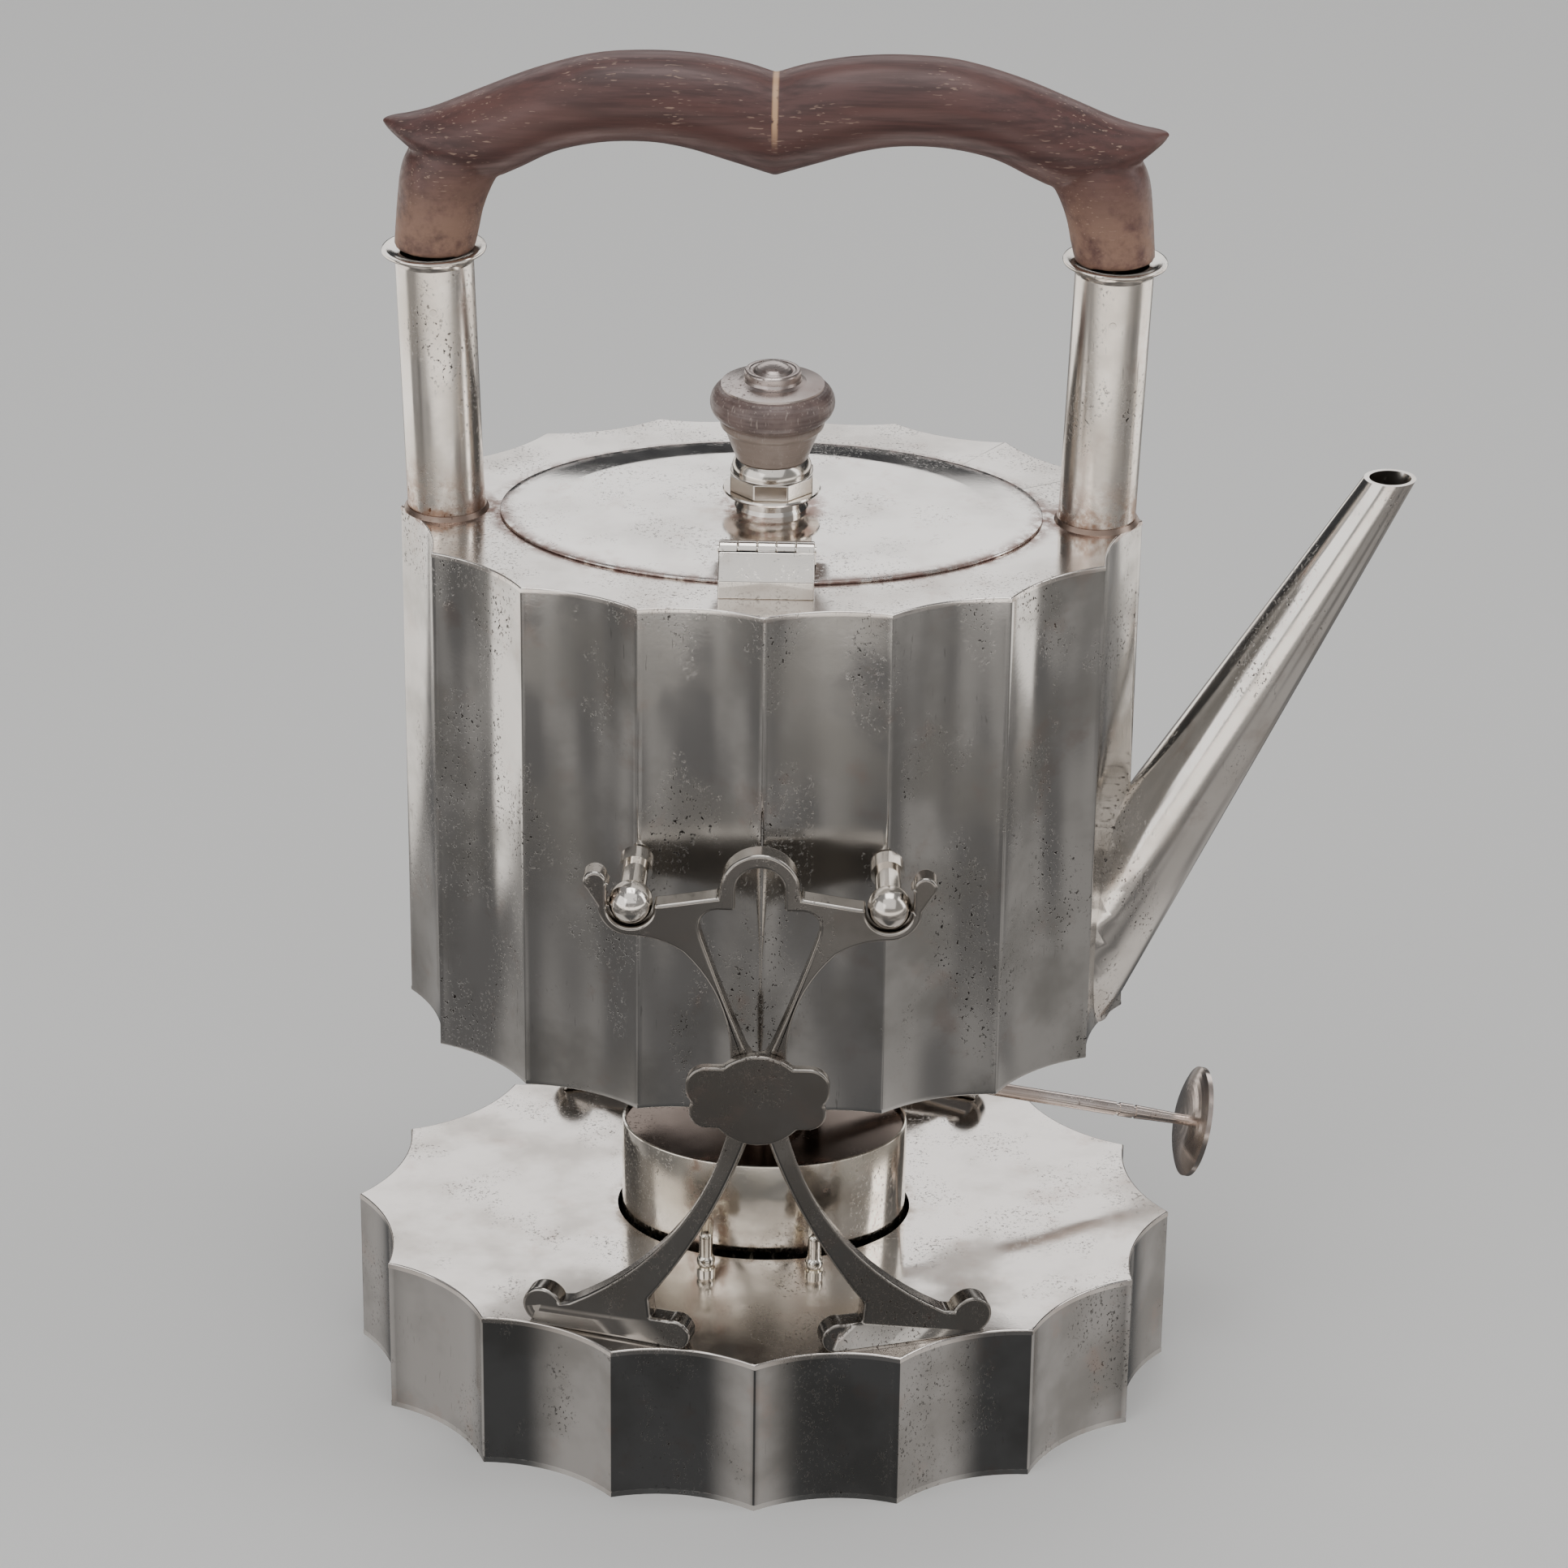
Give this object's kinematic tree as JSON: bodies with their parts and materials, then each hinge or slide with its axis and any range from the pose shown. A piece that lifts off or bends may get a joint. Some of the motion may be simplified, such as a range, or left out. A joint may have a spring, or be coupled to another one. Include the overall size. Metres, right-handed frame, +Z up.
{
  "type": "spirit kettle on stand",
  "caption": "Oval fluted silver kettle with a wooden-gripped fixed handle and hinged lid, hung by ball-ended pegs on a two-bracket stand over a spirit burner.",
  "frame": {"origin": "centre of the underside of the stand's base, where it rests on the table", "axes": "+Z up, +X towards the spout, -Y towards the lid hinge (the side the picture was taken from), +Y the back"},
  "size_m": [0.2437, 0.1502, 0.3307],
  "materials": {
    "polished_silver": "polished silver sheet with light tarnish",
    "cast_silver": "cast and filed silver, warm tarnish in the corners",
    "burner_silver": "worn silver with yellowish heat tint",
    "winder_metal": "turned and plated, worn",
    "base_underplate": "dull underside",
    "solder": "heat-stained solder",
    "dark_wood": "polished dark wood, worn",
    "knob_wood": "dry turned wood",
    "cotton_wick": "cotton wick, charred at the end"
  },
  "bodies": {
    "stand": {"base_wall": "polished_silver", "base_top": "polished_silver", "base_floor": "base_underplate", "front_bracket": "cast_silver", "back_bracket": "cast_silver", "front_left_leg": "cast_silver", "front_right_leg": "cast_silver", "back_left_leg": "cast_silver", "back_right_leg": "cast_silver", "front_lobed_plate": "polished_silver", "back_lobed_plate": "polished_silver"},
    "burner": {"burner_can": "burner_silver", "burner_top": "burner_silver", "burner_pins": "burner_silver", "wick_tube": "burner_silver", "winder_bearing": "burner_silver"},
    "winder": {"winder_wheel": "winder_metal", "winder_shaft": "winder_metal", "winder_disc": "winder_metal"},
    "wick": {"wick": "cotton_wick"},
    "pivot": {"pivot_balls": "cast_silver"},
    "kettle": {"rest_balls": "cast_silver", "left_pegs": "cast_silver", "right_pegs": "cast_silver", "kettle_wall": "polished_silver", "kettle_bottom": "polished_silver", "kettle_top": "polished_silver", "spout": "polished_silver", "left_socket": "polished_silver", "right_socket": "polished_silver", "left_socket_rim": "polished_silver", "right_socket_rim": "polished_silver", "left_socket_seam": "solder", "right_socket_seam": "solder", "handle_grip": "dark_wood", "handle_pins": "cast_silver", "hinge_block": "cast_silver", "hinge_pin": "cast_silver"},
    "lid": {"lid_hinge_leaf": "cast_silver", "lid_plate": "polished_silver", "lid_flange": "polished_silver", "knob_foot": "cast_silver", "knob_cup": "cast_silver", "knob_wood": "knob_wood", "knob_cap": "cast_silver", "knob_stud": "cast_silver", "knob_nut": "cast_silver"}
  },
  "joints": [
    {"name": "kettle_lift", "type": "slide", "parent": "stand", "child": "pivot", "axis": [0, 0, 1], "range_m": [0, 0.06]},
    {"name": "kettle_tilt", "type": "hinge", "parent": "pivot", "child": "kettle", "pos_m": [0.0286, 0, 0.1578], "axis": [0, 1, 0], "range_deg": [0, 25]},
    {"name": "lid_hinge", "type": "hinge", "parent": "kettle", "child": "lid", "pos_m": [0, -0.0404, 0.2303], "axis": [1, 0, 0], "range_deg": [0, 100]},
    {"name": "burner_lift", "type": "slide", "parent": "stand", "child": "burner", "axis": [0, 0, 1], "range_m": [0, 0.006]},
    {"name": "wick_winder", "type": "hinge", "parent": "burner", "child": "winder", "pos_m": [0, 0.0095, 0.0765], "axis": [0.9633, 0.1354, -0.2317], "range_deg": [-85, 42]},
    {"name": "wick_raise", "type": "slide", "parent": "burner", "child": "wick", "axis": [0, 0, 1], "range_m": [-0.006, 0.003]}
  ],
  "couplings": [
    {"joint": "wick_raise", "follows": "wick_winder", "m_per_rad": 0.004}
  ]
}
